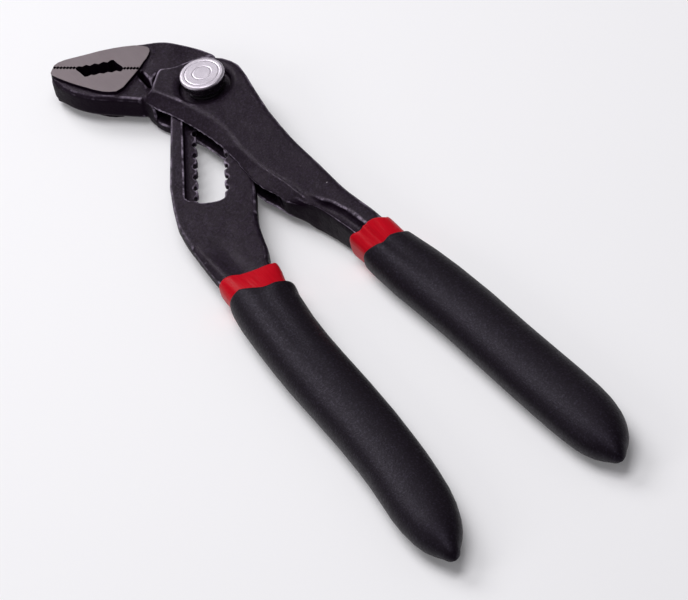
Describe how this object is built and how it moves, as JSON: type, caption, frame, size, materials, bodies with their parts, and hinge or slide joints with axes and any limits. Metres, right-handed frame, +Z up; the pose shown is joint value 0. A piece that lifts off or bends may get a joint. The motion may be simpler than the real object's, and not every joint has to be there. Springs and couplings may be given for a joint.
{
  "type": "adjustable push-button water pump pliers",
  "caption": "Box-joint water pump pliers with an angled serrated jaw, a toothed slot set by a push button, and dipped vinyl grips",
  "frame": {"origin": "centre of the pivot bolt's back face, at the height of the surface the pliers lie on", "axes": "+X towards the jaws, +Y the side of the slotted leg's handle, +Z up through the push button"},
  "size_m": [0.2515, 0.0719, 0.0165],
  "materials": {
    "forging": "drop-forged steel, black phosphate with ground jaw faces",
    "bright_bolt": "turned steel, zinc plated",
    "bright_button": "bright zinc plate",
    "spring_wire": "spring wire",
    "red_vinyl": "glossy dipped vinyl",
    "black_vinyl": "matt dipped vinyl with a fine grain"
  },
  "bodies": {
    "box_side": {"box_handle": "forging", "box_liner": "red_vinyl", "box_sleeve": "black_vinyl"},
    "pivot_core": {"button_spring": "spring_wire"},
    "leg_side": {"slotted_leg": "forging", "leg_liner": "red_vinyl", "leg_sleeve": "black_vinyl"},
    "button_bolt": {"pivot_bolt": "bright_bolt", "push_button": "bright_button"}
  },
  "joints": [
    {"name": "jaw_swing", "type": "hinge", "parent": "box_side", "child": "pivot_core", "pos_m": [0, 0, 0.0065], "axis": [0, 0, -1], "range_deg": [0, 30]},
    {"name": "jaw_adjust", "type": "slide", "parent": "pivot_core", "child": "leg_side", "axis": [0.866, -0.5, 0], "range_m": [0, 0.0276]},
    {"name": "button_press", "type": "slide", "parent": "pivot_core", "child": "button_bolt", "axis": [0, 0, -1], "range_m": [0, 0.0024], "stiffness_N_per_m": 1500, "springref_m": -0.002, "deforming": ["button_spring"]}
  ]
}
